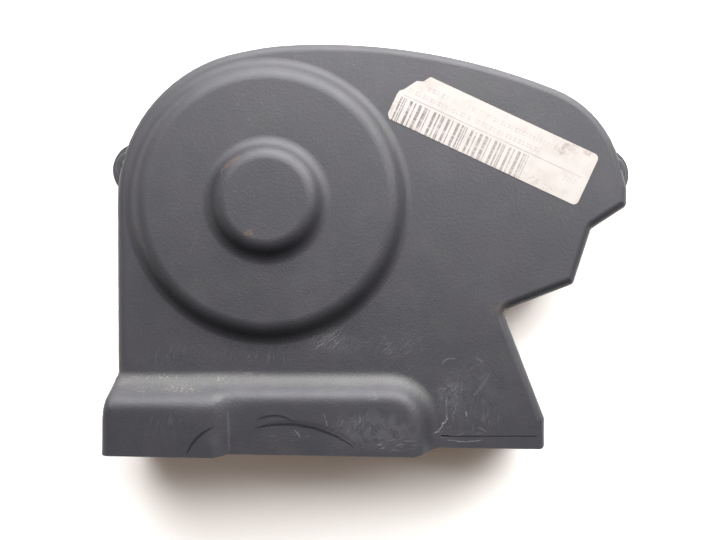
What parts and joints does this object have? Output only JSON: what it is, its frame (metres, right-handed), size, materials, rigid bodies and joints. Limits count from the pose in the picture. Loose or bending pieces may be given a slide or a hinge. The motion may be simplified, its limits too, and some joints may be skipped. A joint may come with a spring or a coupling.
{
  "type": "timing cover",
  "caption": "Moulded plastic cover for a timing belt drive, with a round sprocket dome and hub, a raised skirt along its open lower edge, sleeved bolt lugs and a worn label.",
  "frame": {"origin": "midway between the two fixing bores, on the mounting plane of the rear rim", "axes": "+Z out of the front face, +Y towards the arched top edge, +X towards the label end"},
  "size_m": [0.3274, 0.2305, 0.0746],
  "materials": {
    "moulding": "fine moulded grain, dusty and scuffed",
    "label_paper": "matt sticker, rubbed and stained",
    "sleeve_steel": "dull plated steel"
  },
  "bodies": {
    "root": {"cover_shell": "moulding", "label": "label_paper", "left_fixing_sleeve": "sleeve_steel", "right_fixing_sleeve": "sleeve_steel"}
  },
  "joints": []
}
